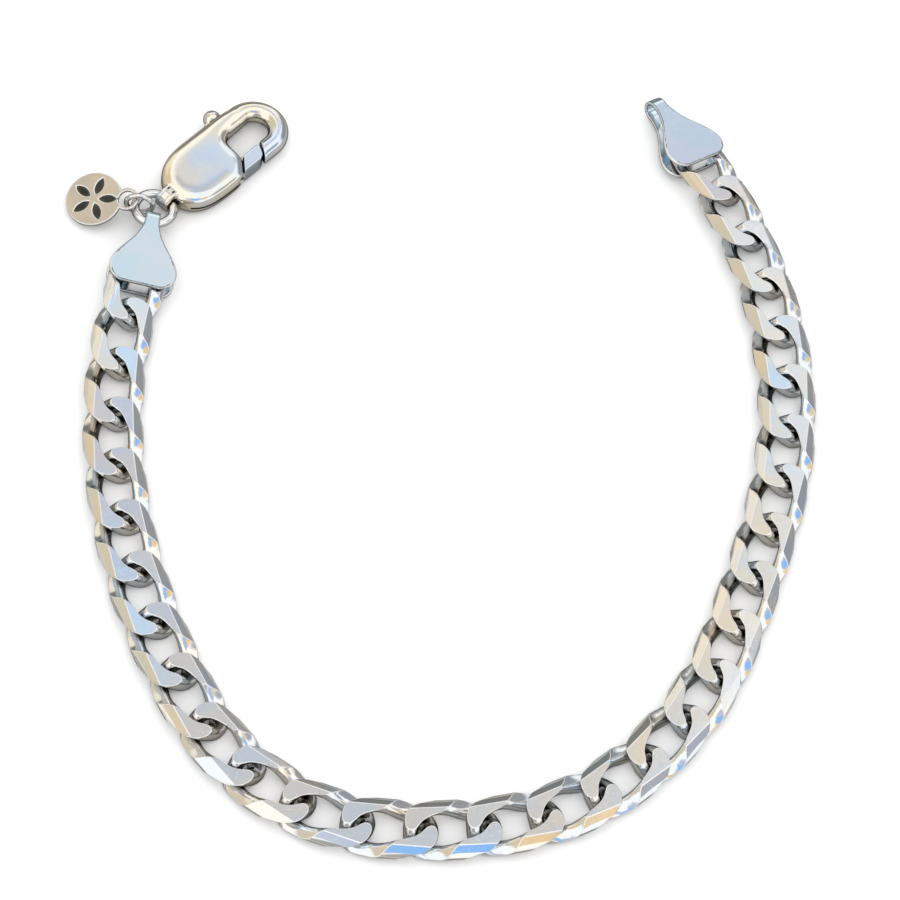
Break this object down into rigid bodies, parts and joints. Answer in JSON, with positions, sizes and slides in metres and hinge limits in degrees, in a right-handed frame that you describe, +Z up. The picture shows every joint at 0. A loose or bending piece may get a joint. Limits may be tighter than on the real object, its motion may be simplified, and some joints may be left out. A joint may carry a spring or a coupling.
{
  "type": "link bracelet",
  "caption": "Flat curb-chain bracelet lying open on a surface, with folded end caps, a jump ring, a small round tag and a lever clasp.",
  "frame": {"origin": "middle of the bracelet's bounding box, on the surface that it lies on", "axes": "+Z up from the surface, +Y from the closed side of the loop towards the open side with the clasp and the free end cap, +X from the clasp towards the free end cap"},
  "size_m": [0.0724, 0.084, 0.0033],
  "materials": {
    "links": "polished silver",
    "clasp_side_cap": "polished silver",
    "free_end_cap": "polished silver",
    "jump_ring": "polished silver",
    "tag_ring": "polished silver",
    "tag": "satin silver",
    "clasp_body": "polished silver",
    "clasp_lever": "polished silver",
    "clasp_pin": "polished silver"
  },
  "bodies": {
    "bracelet": {"link_01": "links", "link_02": "links", "link_03": "links", "link_04": "links", "link_05": "links", "link_06": "links", "link_07": "links", "link_08": "links", "link_09": "links", "link_10": "links", "link_11": "links", "link_12": "links", "link_13": "links", "link_14": "links", "link_15": "links", "link_16": "links", "link_17": "links", "link_18": "links", "link_19": "links", "link_20": "links", "link_21": "links", "link_22": "links", "link_23": "links", "link_24": "links", "link_25": "links", "link_26": "links", "link_27": "links", "link_28": "links", "link_29": "links", "link_30": "links", "clasp_side_cap": "clasp_side_cap", "free_end_cap": "free_end_cap", "jump_ring": "jump_ring", "tag_ring": "tag_ring", "tag": "tag", "clasp_body": "clasp_body", "clasp_pin": "clasp_pin"},
    "lever": {"clasp_lever": "clasp_lever"}
  },
  "joints": [
    {"name": "lever_hinge", "type": "hinge", "parent": "bracelet", "child": "lever", "pos_m": [-0.02252, 0.0317, 0.00125], "axis": [0, 0, 1], "range_deg": [0, 20], "stiffness_Nm_per_rad": 0.01, "springref_deg": -28.65}
  ]
}
